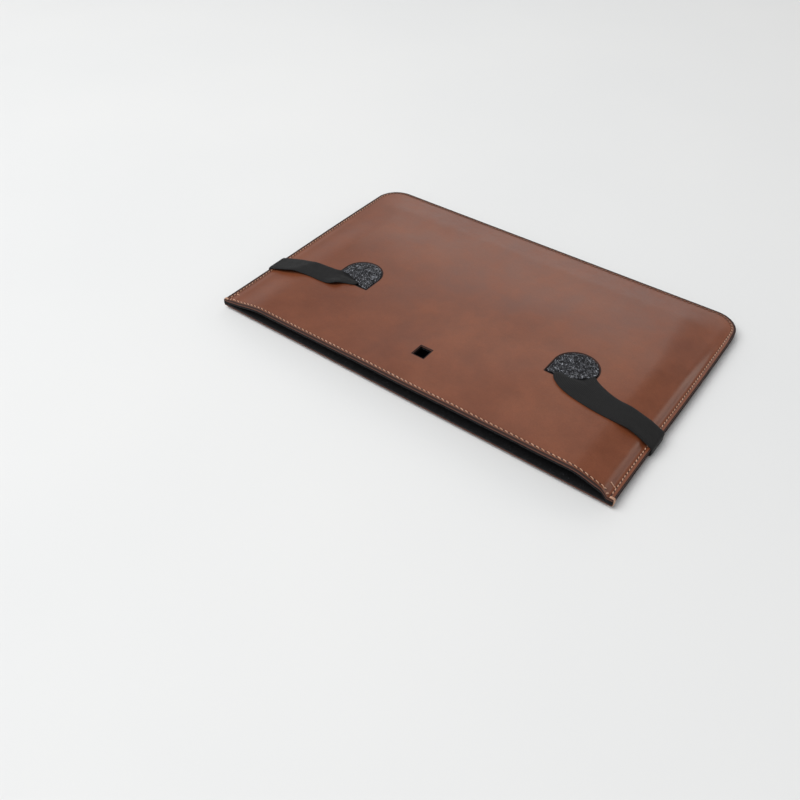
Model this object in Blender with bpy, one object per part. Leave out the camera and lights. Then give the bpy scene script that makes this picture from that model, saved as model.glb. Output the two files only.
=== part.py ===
"""Leather laptop sleeve with a felt lining and two elastic corner bands.

Metres, +Z up. The sleeve lies on its back: +X runs along the open mouth, -Y is the mouth,
+Y the closed rear, and z = 0 is the flat foot of the back panel. The front panel stands
raised at the mouth and slopes down to the rear seam. Each elastic band is sewn in under a
felt patch in a front window and a back window, and wraps round the side of the sleeve. It
swings about an upright axis just outside its windows while it stretches outwards, so that
its loop travels round the mouth corner.
"""

import math

import bpy

# Driving dimensions
HALF_LENGTH = 0.1825  # half the closed side, along X
HALF_DEPTH = 0.119  # half the way from mouth to rear seam, along Y
REAR_CORNER = 0.022  # radius of the two rear corners
BOW = 0.002  # how far each side is drawn in at the mouth
BOW_START = 0.06  # y where the sides begin to draw in
LEATHER = 0.0014
FELT = 0.0012
GAP = 0.0003  # between layers that lie on each other

SIDE_LIFT = 0.0024  # height of the back panel's outer face round its rim
FOOT_HALF_LENGTH = 0.062  # flat foot of the back panel
FOOT_FRONT = -0.095
FOOT_REAR = 0.092
FOOT_EASE = 0.016  # width of the shallow step from foot to rim

MOUTH_RISE = 0.0085  # front panel above its seam, over the mouth half
RISE_END = -0.005  # y where the front panel starts to slope down
RAMP_LOSS = 0.55  # share of the rise that is gone at the rear shoulder
SEAM_BAND = 0.005  # flat stitched margin round sides and rear
SHOULDER_MOUTH = 0.030  # width of the slope inside the seam band, at the mouth
SHOULDER_REAR = 0.040
SHOULDER_BACK_WALL = 0.030
STEEP_SHARE = 0.30  # share of the rise that is taken in a steep step beside the seam
STEEP_WIDTH = 0.006

WINDOW_X = 0.1035  # centre of a window's round end
WINDOW_Y = -0.027
WINDOW_R = 0.0175
WINDOW_FOOT = 0.0165  # from that centre to the window's straight edge
MARK_Y = -0.081  # small square window behind the middle of the lip
MARK_HALF = (0.0051, 0.0057)

BAND_WIDTH = 0.022
BAND_THICKNESS = 0.001
BAND_CLEARANCE = 0.0009  # band above the panel that it lies on
BAND_Y = -0.050  # middle of the band where it wraps the side
PIVOT_X = 0.116
PIVOT_Y = -0.0404
BAND_STRAIGHT_X = 0.160  # from here to the side the band runs along X
RUN_END_X = 0.146  # the swinging run ends here and the stretching loop begins
TAIL_DEPTH = (0.0005, 0.0014)  # below the leather's outer face
PATCH_DEPTH = (-0.00045, 0.00025)
PATCH_REACH = 0.0069  # from the window's centre to the patch's cut edge
TAIL_REACH = 0.009  # how far the tail goes back under the patch
WINDOW_FIT = 0.0005  # patch and tail inside the window's edge
TACK_R = 0.003

THREAD_R = 0.00025
THREAD_LIFT = 0.0004  # thread's centre above the leather
THREAD_INSET = 0.0032  # seam row to the edge
MOUTH_INSET = 0.0035  # mouth row to the lip
SEAM_THREAD_END = -0.1115  # y where the seam rows stop, short of the corner tacks
MOUTH_THREAD_END = 0.172  # x where the mouth rows stop
CORNER_TACK_Y = -0.1152
CORNER_TACK_LENGTH = 0.0048

# Worked out
STACK = 2 * LEATHER + 2 * FELT + 3 * GAP  # the sandwich at the seam
SEAM_TOP = SIDE_LIFT + STACK
PLATEAU = SEAM_TOP + MOUTH_RISE
LINING = LEATHER + GAP  # depth of the lining's outer face
LINING_INNER = LINING + FELT  # and of its inner face
CORNER_Y = HALF_DEPTH - REAR_CORNER
DIAGONAL = math.atan2(-HALF_DEPTH - WINDOW_Y, HALF_LENGTH - WINDOW_X)  # window to mouth corner
CUT = (math.cos(DIAGONAL), math.sin(DIAGONAL))

COLUMNS = (0.0, 0.040, 0.080, 0.120, 0.140, 0.150, 0.155, 0.160, 0.164, 0.168, 0.172, 0.1755, 0.178)
ROWS = (-0.119, -0.095, -0.070, -0.045, -0.020, -0.005, 0.015, 0.035, 0.055, 0.072, 0.084, 0.092)
BACK_COLUMNS = (0.0, 0.062, 0.0673, 0.0727, 0.078)
BACK_ROWS = (-0.119, -0.111, -0.1057, -0.1003, -0.095, 0.0, 0.060, 0.092)
ARC_STEPS = 6
SIDES = {"left": -1, "right": 1}
FACES = {"front": 1, "back": -1}


def clear_scene():
    for thing in list(bpy.data.objects):
        bpy.data.objects.remove(thing, do_unlink=True)


def material(name, colour, roughness):
    made = bpy.data.materials.new(name)
    made.use_nodes = True
    shader = made.node_tree.nodes["Principled BSDF"]
    shader.inputs["Base Color"].default_value = (*colour, 1.0)
    shader.inputs["Roughness"].default_value = roughness
    shader.inputs["Metallic"].default_value = 0.0
    made.diffuse_color = (*colour, 1.0)
    return made


def add_mesh(name, points, faces, look, smooth=False):
    mesh = bpy.data.meshes.new(name)
    mesh.from_pydata(points, [], faces)
    mesh.materials.append(look)
    if smooth:
        mesh.shade_smooth()
        mesh.set_sharp_from_angle(angle=math.radians(35))
    thing = bpy.data.objects.new(name, mesh)
    bpy.context.collection.objects.link(thing)
    return thing


def ease(t):
    """0 to 1 with level ends."""
    t = min(max(t, 0.0), 1.0)
    return 0.5 - 0.5 * math.cos(math.pi * t)


def shoulder(inside, width):
    """0 at the seam band to 1 on the plateau: a steep step, then an easy slope."""
    step = math.sin(0.5 * math.pi * min(max(inside / STEEP_WIDTH, 0.0), 1.0))
    return STEEP_SHARE * step + (1 - STEEP_SHARE) * ease(inside / width)


def edge_x(y):
    """Half the sleeve's length at y."""
    if y > CORNER_Y:
        rise = min(y - CORNER_Y, REAR_CORNER)
        return HALF_LENGTH - REAR_CORNER + math.sqrt(REAR_CORNER**2 - rise**2)
    return HALF_LENGTH - BOW * ease((BOW_START - y) / (BOW_START + HALF_DEPTH))


def front_face(x, y):
    """Height of the front leather's outer face."""
    rearward = ease((y - RISE_END) / (HALF_DEPTH - RISE_END))
    rise = MOUTH_RISE * (1 - RAMP_LOSS * rearward)
    width = SHOULDER_MOUTH + (SHOULDER_REAR - SHOULDER_MOUTH) * rearward
    across = shoulder(edge_x(y) - abs(x) - SEAM_BAND, width)
    along = shoulder(HALF_DEPTH - y - SEAM_BAND, SHOULDER_BACK_WALL)
    return SEAM_TOP + rise * across * along


def back_face(x, y):
    """Height of the back leather's outer face: a shallow dish standing on its foot."""
    across = 1 - ease((abs(x) - FOOT_HALF_LENGTH) / FOOT_EASE)
    ahead = 1 - ease((FOOT_FRONT - y) / FOOT_EASE)
    behind = 1 - ease((y - FOOT_REAR) / FOOT_EASE)
    return SIDE_LIFT * (1 - across * ahead * behind)


def both_sides(columns):
    """Column places mirrored about x = 0, with the two edges added."""
    right = [*columns[1:], HALF_LENGTH]
    return [-x for x in reversed(right)] + [0.0, *right]


def with_corner(rows):
    """Row places with those of the rear corners' arcs added."""
    steps = [k * math.pi / 2 / ARC_STEPS for k in range(ARC_STEPS + 1)]
    return [*rows, *(CORNER_Y + REAR_CORNER * math.sin(a) for a in steps)]


def add_sheet(name, look, height, low, high, columns, rows):
    """A sheet between height + low and height + high, cut to the sleeve's outline."""
    across = both_sides(columns)
    along = with_corner(rows)
    points = []
    for offset in (low, high):
        for y in along:
            stretch = edge_x(y) / HALF_LENGTH
            points += [(x * stretch, y, height(x * stretch, y) + offset) for x in across]
    wide = len(across)
    layer = wide * len(along)
    faces = []
    for j in range(len(along) - 1):
        for i in range(wide - 1):
            a = j * wide + i
            b, c, d = a + 1, a + wide + 1, a + wide
            faces += [(a, c, b), (a, d, c)]
            faces += [(a + layer, b + layer, c + layer), (a + layer, c + layer, d + layer)]
    rim = list(range(wide))
    rim += [j * wide + wide - 1 for j in range(1, len(along))]
    rim += [layer - 1 - i for i in range(1, wide)]
    rim += [j * wide for j in range(len(along) - 2, 0, -1)]
    for a, b in zip(rim, rim[1:] + rim[:1]):
        faces.append((a, b, b + layer, a + layer))
    return add_mesh(name, points, faces, look, smooth=True)


def window_outline(inset=0.0):
    """The right-hand window: round towards the rear, straight towards the mouth, anticlockwise."""
    radius = WINDOW_R - inset
    foot = WINDOW_FOOT - inset
    outline = [(-radius, -foot), (radius, -foot)]
    outline += [(radius * math.cos(a), radius * math.sin(a)) for a in arc(0, math.pi, 16)]
    return [(WINDOW_X + x, WINDOW_Y + y) for x, y in outline]


def arc(start, end, steps):
    return [start + (end - start) * k / steps for k in range(steps + 1)]


def turned(outline, side):
    """A right-hand outline, mirrored and reversed for the left side."""
    if side > 0:
        return outline
    return [(-x, y) for x, y in reversed(outline)]


def clip(outline, across, along, limit):
    """The part of a convex outline where across * x + along * y is below limit."""
    kept = []
    for (x0, y0), (x1, y1) in zip(outline, outline[1:] + outline[:1]):
        here = across * x0 + along * y0 - limit
        there = across * x1 + along * y1 - limit
        if here <= 0:
            kept.append((x0, y0))
        if here * there < 0:
            share = here / (here - there)
            kept.append((x0 + (x1 - x0) * share, y0 + (y1 - y0) * share))
    return kept


def add_prism(name, outline, low, high, look):
    """An upright prism over an anticlockwise outline."""
    n = len(outline)
    points = [(x, y, low) for x, y in outline] + [(x, y, high) for x, y in outline]
    faces = [tuple(reversed(range(n))), tuple(range(n, 2 * n))]
    faces += [(i, (i + 1) % n, n + (i + 1) % n, n + i) for i in range(n)]
    return add_mesh(name, points, faces, look)


def cut_away(thing, outline, low, high, look):
    """Cuts an upright prism out of thing."""
    cutter = add_prism(f"cutter_{len(bpy.data.objects)}", outline, low, high, look)
    cutter.hide_render = True
    cutter.display_type = "WIRE"
    boolean = thing.modifiers.new("window", "BOOLEAN")
    boolean.operation = "DIFFERENCE"
    boolean.solver = "EXACT"
    boolean.object = cutter


def circle(x, y, radius, steps=16):
    return [(x + radius * math.cos(a), y + radius * math.sin(a)) for a in arc(0, math.tau, steps)[:-1]]


def levels(face, depths):
    """Low and high z between two depths below the outer face of the front or back leather."""
    surface = PLATEAU if face > 0 else SIDE_LIFT
    return sorted(surface - face * depth for depth in depths)


def add_panels(leather, felt):
    """The two leather panels and the two felt linings between them."""
    square = [
        (sx * MARK_HALF[0], MARK_Y + sy * MARK_HALF[1])
        for sx, sy in ((-1, -1), (1, -1), (1, 1), (-1, 1))
    ]
    middle = SEAM_TOP + MOUTH_RISE / 2
    above = PLATEAU + LEATHER
    front = add_sheet("front_leather_panel", leather, front_face, -LEATHER, 0.0, COLUMNS, ROWS)
    front_felt = add_sheet(
        "front_felt_lining", felt, front_face, -LINING_INNER, -LINING, COLUMNS, ROWS
    )
    cut_away(front, square, middle, above, leather)
    cut_away(front_felt, square, middle, above, felt)
    back = add_sheet("back_leather_panel", leather, back_face, 0.0, LEATHER, BACK_COLUMNS, BACK_ROWS)
    add_sheet("back_felt_lining", felt, back_face, LINING, LINING_INNER, BACK_COLUMNS, BACK_ROWS)
    for side in SIDES.values():
        window = turned(window_outline(), side)
        cut_away(front, window, middle, above, leather)
        cut_away(back, window, -LEATHER, SIDE_LIFT + 2 * LEATHER, leather)


def add_window_pieces(side_name, face_name, elastic, felt, thread):
    """The felt patch, the band's sewn-in tail and the tack that holds it, in one window."""
    side = SIDES[side_name]
    face = FACES[face_name]
    name = f"{side_name}_{face_name}"
    inside = window_outline(WINDOW_FIT)
    reach = CUT[0] * WINDOW_X + CUT[1] * WINDOW_Y
    middle = CUT[0] * WINDOW_Y - CUT[1] * WINDOW_X

    patch = clip(inside, CUT[0], CUT[1], reach + PATCH_REACH)
    add_prism(f"{name}_felt_patch", turned(patch, side), *levels(face, PATCH_DEPTH), felt)

    tail = clip(inside, -CUT[0], -CUT[1], TAIL_REACH - reach)
    tail = clip(tail, -CUT[1], CUT[0], middle + BAND_WIDTH / 2)
    tail = clip(tail, CUT[1], -CUT[0], BAND_WIDTH / 2 - middle)
    low, high = levels(face, TAIL_DEPTH)
    end = add_prism(f"{name}_band_tail", turned(tail, side), low, high, elastic)
    hole = turned(circle(WINDOW_X, WINDOW_Y, TACK_R + GAP), side)
    cut_away(end, hole, low - GAP, high + GAP, elastic)
    tack = turned(circle(WINDOW_X, WINDOW_Y, TACK_R), side)
    add_prism(f"{name}_anchor_tack", tack, low, high, thread)


def band_middle(x):
    """y of the band's middle line: curved out of the window, then along X."""
    left_over = max(0.0, (BAND_STRAIGHT_X - x) / (BAND_STRAIGHT_X - PIVOT_X))
    return BAND_Y + (PIVOT_Y - BAND_Y) * left_over**2


def band_station(x, half_width, z):
    """Mouth-side and rear-side points of the band where its middle line is at x."""
    step = 0.0005
    y = band_middle(x)
    slope = (band_middle(x + step) - band_middle(x - step)) / (2 * step)
    across_x = -slope / math.hypot(1.0, slope) * half_width
    across_y = half_width / math.hypot(1.0, slope)
    return (x - across_x, y - across_y, z), (x + across_x, y + across_y, z)


def add_ribbon(name, stations, look, side, outward, pivot):
    """A strip of elastic through pairs of points, with its thickness on the outer side."""
    points = []
    for pair in stations:
        points += [(side * x - pivot[0], y - pivot[1], z - pivot[2]) for x, y, z in pair]
    faces = []
    for k in range(0, len(points) - 2, 2):
        quad = (k, k + 2, k + 3, k + 1)
        faces.append(quad if side * outward > 0 else tuple(reversed(quad)))
    strip = add_mesh(name, points, faces, look, smooth=True)
    strip.location = pivot
    solidify = strip.modifiers.new("thickness", "SOLIDIFY")
    solidify.thickness = BAND_THICKNESS
    solidify.offset = 1.0
    solidify.use_even_offset = True


def taut_height(edge):
    """Height of the band's inner face over the front panel, pulled straight past the shoulder."""
    end_z = SEAM_TOP + BAND_CLEARANCE
    end_x = edge + BAND_CLEARANCE
    lifted = [(front_face(x, BAND_Y) + BAND_CLEARANCE, x) for x in arc(RUN_END_X, edge, 100)]
    slope, touch = max(((z - end_z) / (end_x - x), x) for z, x in lifted)

    def height(x):
        if x < touch:
            return front_face(x, BAND_Y) + BAND_CLEARANCE
        return end_z + slope * (end_x - x)

    return height


def add_band(side_name, elastic):
    """The swinging runs on both faces, and the loop that stretches off them round the side."""
    side = SIDES[side_name]
    half = BAND_WIDTH / 2
    edge = edge_x(BAND_Y)
    over = taut_height(edge)
    top = PLATEAU + BAND_CLEARANCE
    under = SIDE_LIFT - BAND_CLEARANCE
    pivot = (side * PIVOT_X, PIVOT_Y, top)
    run_end = RUN_END_X - GAP / 2
    loop_start = RUN_END_X + GAP / 2

    outline = [(PIVOT_X - half * math.sin(a), half * math.cos(a)) for a in arc(1.3, 0.0, 5)]
    outline += [(x, half) for x in arc(PIVOT_X, run_end, 6)[1:]]
    for face_name, z in (("front", top), ("back", under)):
        stations = [band_station(x, wide, z) for x, wide in outline]
        name = f"{side_name}_{face_name}_band_run"
        add_ribbon(name, stations, elastic, side, FACES[face_name], pivot)

    inner_edge = edge - BAND_CLEARANCE
    wrap_x = edge + BAND_CLEARANCE
    stations = [band_station(x, half, over(x)) for x in arc(loop_start, inner_edge, 14)]
    stations += [band_station(wrap_x, half, z) for z in arc(SEAM_TOP, SIDE_LIFT, 2)]
    stations += [band_station(x, half, under) for x in arc(inner_edge, loop_start, 8)]
    add_ribbon(f"{side_name}_band_loop", stations, elastic, side, 1, pivot)


def add_thread(name, points, look):
    """One continuous row of thread through points."""
    curve = bpy.data.curves.new(name, "CURVE")
    curve.dimensions = "3D"
    curve.bevel_depth = THREAD_R
    curve.bevel_resolution = 0
    curve.use_fill_caps = True
    spline = curve.splines.new("POLY")
    spline.points.add(len(points) - 1)
    for point, place in zip(spline.points, points):
        point.co = (*place, 1.0)
    curve.materials.append(look)
    thing = bpy.data.objects.new(name, curve)
    bpy.context.collection.objects.link(thing)
    return thing


def seam_path():
    """Seam row's places from the left mouth corner round the rear to the right one."""
    side = [(edge_x(y) - THREAD_INSET, y) for y in arc(SEAM_THREAD_END, CORNER_Y, 6)]
    radius = REAR_CORNER - THREAD_INSET
    centre = HALF_LENGTH - REAR_CORNER
    corner = [
        (centre + radius * math.cos(a), CORNER_Y + radius * math.sin(a))
        for a in arc(0, math.pi / 2, 6)[1:]
    ]
    right = side + corner
    return [(-x, y) for x, y in right] + [(x, y) for x, y in reversed(right)]


def add_threads(thread):
    """Seam and mouth rows on both faces, and the tacks over the two mouth corners."""
    y = -HALF_DEPTH + MOUTH_INSET
    stretch = edge_x(-HALF_DEPTH) / HALF_LENGTH
    front_xs = [x * stretch for x in both_sides(COLUMNS) if abs(x) <= MOUTH_THREAD_END]
    back_xs = [-MOUTH_THREAD_END, 0.0, MOUTH_THREAD_END]
    heights = {
        "front": lambda x, y: front_face(x, y) + THREAD_LIFT,
        "back": lambda x, y: back_face(x, y) - THREAD_LIFT,
    }
    for face, height in heights.items():
        seam = [(x, y_, height(edge_x(y_), y_)) for x, y_ in seam_path()]
        add_thread(f"{face}_seam_thread", seam, thread)
        xs = front_xs if face == "front" else back_xs
        add_thread(f"{face}_mouth_thread", [(x, y, height(x, y)) for x in xs], thread)
    out = edge_x(CORNER_TACK_Y) + THREAD_LIFT
    top = SEAM_TOP + THREAD_LIFT
    bottom = SIDE_LIFT - THREAD_LIFT
    for side_name, side in SIDES.items():
        inner = out - CORNER_TACK_LENGTH
        staple = [(inner, top), (out, top), (out, bottom), (inner, bottom)]
        points = [(side * x, CORNER_TACK_Y, z) for x, z in staple]
        add_thread(f"{side_name}_corner_tack", points, thread)


def main():
    clear_scene()
    leather = material("leather", (0.175, 0.062, 0.030), 0.42)
    lining = material("lining_felt", (0.030, 0.031, 0.034), 0.95)
    patch = material("patch_felt", (0.050, 0.052, 0.058), 0.95)
    elastic = material("elastic", (0.016, 0.016, 0.017), 0.80)
    thread = material("thread", (0.480, 0.255, 0.150), 0.65)
    add_panels(leather, lining)
    for side_name in SIDES:
        for face_name in FACES:
            add_window_pieces(side_name, face_name, elastic, patch, thread)
        add_band(side_name, elastic)
    add_threads(thread)


main()
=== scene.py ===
import math

import bpy
import numpy as np
from mathutils import Matrix, Vector


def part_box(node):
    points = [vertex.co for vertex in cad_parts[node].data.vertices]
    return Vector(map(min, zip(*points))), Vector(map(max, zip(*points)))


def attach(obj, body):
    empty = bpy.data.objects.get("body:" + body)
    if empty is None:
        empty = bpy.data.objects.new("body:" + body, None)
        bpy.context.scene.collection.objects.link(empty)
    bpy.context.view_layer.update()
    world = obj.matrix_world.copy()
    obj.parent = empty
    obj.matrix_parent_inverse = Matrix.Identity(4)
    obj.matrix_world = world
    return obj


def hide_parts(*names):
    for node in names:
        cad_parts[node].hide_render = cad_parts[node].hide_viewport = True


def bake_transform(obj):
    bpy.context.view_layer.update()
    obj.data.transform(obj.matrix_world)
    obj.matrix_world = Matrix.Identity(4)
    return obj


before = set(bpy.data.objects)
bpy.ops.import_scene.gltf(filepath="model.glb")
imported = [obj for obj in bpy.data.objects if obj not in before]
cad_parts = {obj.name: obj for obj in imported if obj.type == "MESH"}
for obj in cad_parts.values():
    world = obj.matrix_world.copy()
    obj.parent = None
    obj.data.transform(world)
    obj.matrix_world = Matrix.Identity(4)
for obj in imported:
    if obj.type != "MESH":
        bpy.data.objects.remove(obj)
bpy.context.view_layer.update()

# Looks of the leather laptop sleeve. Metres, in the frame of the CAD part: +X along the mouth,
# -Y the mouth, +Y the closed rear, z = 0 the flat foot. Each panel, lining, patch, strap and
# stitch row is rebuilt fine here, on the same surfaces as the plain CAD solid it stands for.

# Sizes read from the CAD solids
PANEL_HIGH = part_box("front_leather_panel")[1]
PATCH_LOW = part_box("right_front_felt_patch")[0]
TACK_LOW, TACK_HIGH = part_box("right_front_anchor_tack")
HALF_LENGTH = PANEL_HIGH.x
HALF_DEPTH = PANEL_HIGH.y
PLATEAU = PANEL_HIGH.z
WINDOW_X = (TACK_LOW.x + TACK_HIGH.x) / 2
WINDOW_Y = (TACK_LOW.y + TACK_HIGH.y) / 2
WINDOW_FIT = 0.0005
WINDOW_R = WINDOW_X - PATCH_LOW.x + WINDOW_FIT
WINDOW_FOOT = WINDOW_Y - PATCH_LOW.y + WINDOW_FIT

# The panels' form, as in the CAD part
LEATHER = 0.0014
STACK = 0.0061
SIDE_LIFT = 0.0024
SEAM_TOP = SIDE_LIFT + STACK
MOUTH_RISE = PLATEAU - SEAM_TOP
REAR_CORNER = 0.022
CORNER_X = HALF_LENGTH - REAR_CORNER
CORNER_Y = HALF_DEPTH - REAR_CORNER
BOW = 0.002
BOW_START = 0.06
FOOT_HALF_LENGTH = 0.062
FOOT_FRONT = -0.095
FOOT_REAR = 0.092
FOOT_EASE = 0.016
RISE_END = -0.005
RAMP_LOSS = 0.55
SEAM_BAND = 0.005
SHOULDER_BACK_WALL = 0.030
STEEP_WIDTH = 0.006
# Left and right shoulders differ a little round the plain solid's one shape
SHOULDER_MOUTH = {-1: 0.040, 1: 0.029}
SHOULDER_REAR = 0.042
STEEP_SHARE = {-1: 0.16, 1: 0.46}
RISE_TILT = 0.22
MARK_Y = -0.081
MARK_HALF = (0.0051, 0.0057)
WINDOW_ROUNDING = 0.0013
MARK_ROUNDING = 0.0004
THREAD_INSET = 0.0032
MOUTH_INSET = 0.0035

# Depths below the leather's outer face
FELT_OUTER = 0.00145
FELT_INNER = 0.00303

# Dark rim (burnish and painted shade): its width, its share round a hole, and how much less shade the lit
# right side gets
RIM_REACH = 0.0034
HOLE_RIM_SHARE = 0.5
RIGHT_RIM_LESS_SHADE = 0.6

# Stitches
THREAD_R = 0.00040
STITCH_RISE = 0.00026
STITCH_DIP = 0.00030
STITCH_SUNK = 0.00012
GROOVE_DEPTH = 0.00030
GROOVE_WIDTH = 0.00055
SEAM_PITCH = 0.0035
MOUTH_PITCH = 0.0041
SEAM_ROW_END = -0.1140
MOUTH_ROW_END = 0.1725

# Elastic: how deep the strap lies in its window, and over what length it goes down
BAND_GAP = 0.0005
BAND_WIDTH = 0.022
BAND_THICKNESS = 0.0010
BAND_SUNK = 0.00135
SINK_LENGTH = 0.0075

SIDES = {"left": -1, "right": 1}
FACES = {"front": 1, "back": -1}

# Distances from an edge at which the plates have mesh lines, closest where the edge is eased
EDGE_STEPS = (
    0.0, 0.00008, 0.0002, 0.0004, 0.0007, 0.0012, 0.0019, 0.0025,
    0.0029, 0.0032, 0.0035, 0.0039, 0.0045, 0.0053, 0.0065,
)


# ------------------------ surfaces


def ease(t):
    """A half cosine from 0 to 1."""
    return 0.5 - 0.5 * np.cos(np.pi * np.clip(t, 0.0, 1.0))


def shoulder(inside, width, steep):
    """0 at the seam band to 1 on the plateau: a steep step, then an easy slope."""
    step = np.sin(0.5 * np.pi * np.clip(inside / STEEP_WIDTH, 0.0, 1.0))
    return steep * step + (1 - steep) * ease(inside / width)


def smooth(t):
    """A smoothstep from 0 to 1."""
    t = np.clip(t, 0.0, 1.0)
    return t * t * (3 - 2 * t)


def edge_x(y):
    """Half the sleeve's length at y."""
    y = np.asarray(y, float)
    rise = np.clip(y - CORNER_Y, 0.0, REAR_CORNER)
    rear = CORNER_X + np.sqrt(REAR_CORNER**2 - rise**2)
    sides = HALF_LENGTH - BOW * ease((BOW_START - y) / (BOW_START + HALF_DEPTH))
    return np.where(y > CORNER_Y, rear, sides)


def outline_distance(x, y):
    """How far a point is inside the sides and the rear."""
    ax = np.abs(x)
    straight = np.minimum(edge_x(y) - ax, HALF_DEPTH - y)
    corner = REAR_CORNER - np.hypot(ax - CORNER_X, y - CORNER_Y)
    return np.where((ax > CORNER_X) & (y > CORNER_Y), corner, straight)


def ripple(x, y):
    """Slight unevenness of the leather, gone at the seam."""
    waves = (
        np.sin(61 * x + 23 * y + 0.6)
        + 0.8 * np.sin(-38 * x + 71 * y + 2.1)
        + 0.5 * np.sin(97 * x - 54 * y + 4.0)
        + 0.35 * np.sin(140 * x + 118 * y + 1.3)
    )
    return 0.00011 * waves * smooth((outline_distance(x, y) - 0.006) / 0.03)


def front_face(x, y):
    """Height of the front leather's outer face."""
    rearward = ease((y - RISE_END) / (HALF_DEPTH - RISE_END))
    rise = MOUTH_RISE * (1 - RAMP_LOSS * rearward) * (1 + RISE_TILT * x / HALF_LENGTH)
    mouth_width = np.where(x < 0, SHOULDER_MOUTH[-1], SHOULDER_MOUTH[1])
    width = mouth_width + (SHOULDER_REAR - mouth_width) * rearward
    steep = np.where(x < 0, STEEP_SHARE[-1], STEEP_SHARE[1]) * (1 - 0.6 * rearward)
    across = shoulder(edge_x(y) - np.abs(x) - SEAM_BAND, width, steep)
    along = shoulder(HALF_DEPTH - y - SEAM_BAND, SHOULDER_BACK_WALL, 0.15)
    return SEAM_TOP + rise * across * along


def back_face(x, y):
    """Height of the back leather's outer face."""
    across = 1 - ease((np.abs(x) - FOOT_HALF_LENGTH) / FOOT_EASE)
    ahead = 1 - ease((FOOT_FRONT - y) / FOOT_EASE)
    behind = 1 - ease((y - FOOT_REAR) / FOOT_EASE)
    return SIDE_LIFT * (1 - across * ahead * behind)


def front_skin(x, y):
    """The front face with the leather's own unevenness."""
    return front_face(x, y) + ripple(x, y)


FACE_HEIGHT = {"front": front_skin, "back": back_face}


def groove(x, y):
    """Depth of the channel that each row of stitches pulls into the leather."""
    side = outline_distance(x, y) - THREAD_INSET
    mouth = y + HALF_DEPTH - MOUTH_INSET
    on_side = np.exp(-((side / GROOVE_WIDTH) ** 2)) * (y > SEAM_ROW_END - 0.004)
    on_mouth = np.exp(-((mouth / GROOVE_WIDTH) ** 2)) * (np.abs(x) < MOUTH_ROW_END)
    return GROOVE_DEPTH * np.maximum(on_side, on_mouth)


# ------------------------ mesh building


def make_object(name, points, faces, look, smooth_angle=60):
    mesh = bpy.data.meshes.new(name)
    mesh.from_pydata([tuple(p) for p in points], [], faces)
    mesh.materials.append(look)
    mesh.shade_smooth()
    if smooth_angle:
        mesh.set_sharp_from_angle(angle=math.radians(smooth_angle))
    thing = bpy.data.objects.new(name, mesh)
    bpy.context.scene.collection.objects.link(thing)
    return thing


def add_floats(thing, name, values):
    """Store one number per vertex, for the materials to read."""
    layer = thing.data.attributes.new(name, "FLOAT", "POINT")
    layer.data.foreach_set("value", np.asarray(values, np.float32))


def sew_on(piece, node):
    """A piece that stays with the sleeve and stands for one CAD node."""
    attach(piece, "sleeve")
    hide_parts(node)


def filled(places, step):
    """Sorted places with more put in, so that no gap is wider than step."""
    result = [places[0]]
    for a, b in zip(places, places[1:]):
        n = max(1, math.ceil((b - a) / step - 1e-6))
        result += [a + (b - a) * k / n for k in range(1, n + 1)]
    return result


def walk_closed(outline, s, rounding):
    """Points at distances s round a closed outline, with its sharp corners eased."""
    path, total, corners = outline
    s = np.asarray(s, float)
    points = path(s)
    for corner in corners:
        gap = (s - corner + total / 2) % total - total / 2
        near = np.abs(gap) < rounding
        t = ((gap[near] + rounding) / (2 * rounding))[:, None]
        ends = (corner - rounding, corner, corner + rounding)
        before, at, after = (path(np.array([end % total])) for end in ends)
        points[near] = (1 - t) ** 2 * before + 2 * t * (1 - t) * at + t**2 * after
    return points


def arch_path(centre_x, offset):
    """The window's outline, offset outwards, from its mouth-side left corner anticlockwise."""
    r = WINDOW_R + offset
    foot = WINDOW_FOOT + offset
    marks = np.cumsum([0, 2 * r, foot, math.pi * r, foot])

    def path(s):
        s = np.asarray(s, float) % marks[-1]
        angle = (s - marks[2]) / r
        tests = [s < marks[1], s < marks[2], s < marks[3]]
        x = np.select(tests, [s - r, r, r * np.cos(angle)], -r)
        y = np.select(tests, [-foot, s - marks[1] - foot, r * np.sin(angle)], marks[3] - s)
        return np.stack([centre_x + x, WINDOW_Y + y], 1)

    return path, marks[-1], (0.0, marks[1])


def square_path(centre, half, offset):
    """A square hole's outline, offset outwards, from its mouth-side left corner anticlockwise."""
    hx = half[0] + offset
    hy = half[1] + offset
    marks = np.cumsum([0, 2 * hx, 2 * hy, 2 * hx, 2 * hy])

    def path(s):
        s = np.asarray(s, float) % marks[-1]
        tests = [s < marks[1], s < marks[2], s < marks[3]]
        x = np.select(tests, [s - hx, hx, hx - (s - marks[2])], -hx)
        y = np.select(tests, [-hy, s - marks[1] - hy, hy], hy - (s - marks[3]))
        return np.stack([centre[0] + x, centre[1] + y], 1)

    return path, marks[-1], tuple(marks[:4])


class Hole:
    """A hole through a plate: the lattice block that it replaces, and its outline."""

    def __init__(self, centre, reach, kind, rounding):
        self.centre = centre
        self.low = (centre[0] - reach[0], centre[1] - reach[1])
        self.high = (centre[0] + reach[0], centre[1] + reach[2])
        self.kind = kind
        self.rounding = rounding

    def ring(self, offset, across, up):
        """Points round the hole, offset outwards, as many as the block's rim has."""
        if self.kind == "arch":
            outline = arch_path(self.centre[0], offset)
            counts = (across, up + across + up)
        else:
            outline = square_path(self.centre, MARK_HALF, offset)
            counts = (across, up, across, up)
        _, total, corners = outline
        marks = [*corners, total]
        s = []
        for a, b, n in zip(marks, marks[1:], counts):
            s += [a + (b - a) * k / n for k in range(n)]
        return walk_closed(outline, s, self.rounding)


WINDOW_HOLES = [
    Hole((side * WINDOW_X, WINDOW_Y), (0.0235, 0.0225, 0.0235), "arch", WINDOW_ROUNDING)
    for side in (-1, 1)
]
MARK_HOLE = Hole((0.0, MARK_Y), (0.0105, 0.0110, 0.0110), "square", MARK_ROUNDING)


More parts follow.
